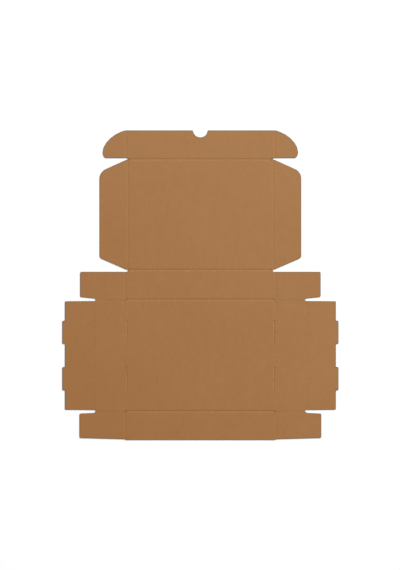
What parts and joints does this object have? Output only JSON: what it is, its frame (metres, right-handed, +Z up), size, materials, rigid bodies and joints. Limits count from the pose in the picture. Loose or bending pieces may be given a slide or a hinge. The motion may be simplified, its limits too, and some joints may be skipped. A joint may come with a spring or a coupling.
{
  "type": "e-commerce shipping box",
  "caption": "Flat die-cut corrugated mailer box with roll-over locking side walls, corner flaps, and a hinged lid with dust flaps, tuck flap, ears and thumb notch.",
  "frame": {"origin": "middle of the base panel's underside, on the surface that the blank lies on", "axes": "+X across the box to the right, +Y from the base towards the lid, +Z up out of the inside face"},
  "size_m": [0.5026, 0.5633, 0.0015],
  "materials": {
    "kraft_board": "uncoated brown kraft corrugated board, inside face up, fine fibre mottling, matt"
  },
  "bodies": {
    "base_panel": {"base_panel": "kraft_board"},
    "front_wall": {"front_wall": "kraft_board"},
    "rear_wall": {"rear_wall": "kraft_board"},
    "lid_panel": {"lid_panel": "kraft_board"},
    "tuck_flap": {"tuck_flap": "kraft_board"},
    "left_outer_wall": {"left_outer_wall": "kraft_board"},
    "left_roll_strip": {"left_roll_strip": "kraft_board"},
    "left_inner_wall": {"left_inner_wall": "kraft_board"},
    "front_left_corner_flap": {"front_left_corner_flap": "kraft_board"},
    "rear_left_corner_flap": {"rear_left_corner_flap": "kraft_board"},
    "left_dust_flap": {"left_dust_flap": "kraft_board"},
    "left_tuck_ear": {"left_tuck_ear": "kraft_board"},
    "right_outer_wall": {"right_outer_wall": "kraft_board"},
    "right_roll_strip": {"right_roll_strip": "kraft_board"},
    "right_inner_wall": {"right_inner_wall": "kraft_board"},
    "front_right_corner_flap": {"front_right_corner_flap": "kraft_board"},
    "rear_right_corner_flap": {"rear_right_corner_flap": "kraft_board"},
    "right_dust_flap": {"right_dust_flap": "kraft_board"},
    "right_tuck_ear": {"right_tuck_ear": "kraft_board"}
  },
  "joints": [
    {"name": "front_wall_fold", "type": "hinge", "parent": "base_panel", "child": "front_wall", "pos_m": [0, -0.1015, 0.0015], "axis": [-1, 0, 0], "range_deg": [0, 90]},
    {"name": "rear_wall_fold", "type": "hinge", "parent": "base_panel", "child": "rear_wall", "pos_m": [0, 0.1015, 0.0015], "axis": [1, 0, 0], "range_deg": [0, 90]},
    {"name": "lid_fold", "type": "hinge", "parent": "rear_wall", "child": "lid_panel", "pos_m": [0, 0.1557, 0.0015], "axis": [1, 0, 0], "range_deg": [0, 90]},
    {"name": "tuck_fold", "type": "hinge", "parent": "lid_panel", "child": "tuck_flap", "pos_m": [0, 0.35705, 0.0015], "axis": [1, 0, 0], "range_deg": [0, 90]},
    {"name": "left_tuck_ear_fold", "type": "hinge", "parent": "tuck_flap", "child": "left_tuck_ear", "pos_m": [-0.13535, 0.35705, 0.0015], "axis": [0, 1, 0], "range_deg": [0, 90]},
    {"name": "left_dust_flap_fold", "type": "hinge", "parent": "lid_panel", "child": "left_dust_flap", "pos_m": [-0.13205, 0.1557, 0.0015], "axis": [0, 1, 0], "range_deg": [0, 90]},
    {"name": "rear_left_corner_flap_fold", "type": "hinge", "parent": "rear_wall", "child": "rear_left_corner_flap", "pos_m": [-0.137, 0.1015, 0.0015], "axis": [0, 1, 0], "range_deg": [0, 90]},
    {"name": "front_left_corner_flap_fold", "type": "hinge", "parent": "front_wall", "child": "front_left_corner_flap", "pos_m": [-0.137, -0.1015, 0.0015], "axis": [0, 1, 0], "range_deg": [0, 90]},
    {"name": "left_outer_wall_fold", "type": "hinge", "parent": "base_panel", "child": "left_outer_wall", "pos_m": [-0.13865, 0, 0.0015], "axis": [0, 1, 0], "range_deg": [0, 90]},
    {"name": "left_roll_strip_fold", "type": "hinge", "parent": "left_outer_wall", "child": "left_roll_strip", "pos_m": [-0.19265, 0, 0.0015], "axis": [0, 1, 0], "range_deg": [0, 90]},
    {"name": "left_inner_wall_fold", "type": "hinge", "parent": "left_roll_strip", "child": "left_inner_wall", "pos_m": [-0.1961, 0, 0.0015], "axis": [0, 1, 0], "range_deg": [0, 90]},
    {"name": "right_tuck_ear_fold", "type": "hinge", "parent": "tuck_flap", "child": "right_tuck_ear", "pos_m": [0.13535, 0.35705, 0.0015], "axis": [0, -1, 0], "range_deg": [0, 90]},
    {"name": "right_dust_flap_fold", "type": "hinge", "parent": "lid_panel", "child": "right_dust_flap", "pos_m": [0.13205, 0.1557, 0.0015], "axis": [0, -1, 0], "range_deg": [0, 90]},
    {"name": "rear_right_corner_flap_fold", "type": "hinge", "parent": "rear_wall", "child": "rear_right_corner_flap", "pos_m": [0.137, 0.1015, 0.0015], "axis": [0, -1, 0], "range_deg": [0, 90]},
    {"name": "front_right_corner_flap_fold", "type": "hinge", "parent": "front_wall", "child": "front_right_corner_flap", "pos_m": [0.137, -0.1015, 0.0015], "axis": [0, -1, 0], "range_deg": [0, 90]},
    {"name": "right_outer_wall_fold", "type": "hinge", "parent": "base_panel", "child": "right_outer_wall", "pos_m": [0.13865, 0, 0.0015], "axis": [0, -1, 0], "range_deg": [0, 90]},
    {"name": "right_roll_strip_fold", "type": "hinge", "parent": "right_outer_wall", "child": "right_roll_strip", "pos_m": [0.19265, 0, 0.0015], "axis": [0, -1, 0], "range_deg": [0, 90]},
    {"name": "right_inner_wall_fold", "type": "hinge", "parent": "right_roll_strip", "child": "right_inner_wall", "pos_m": [0.1961, 0, 0.0015], "axis": [0, -1, 0], "range_deg": [0, 90]}
  ]
}
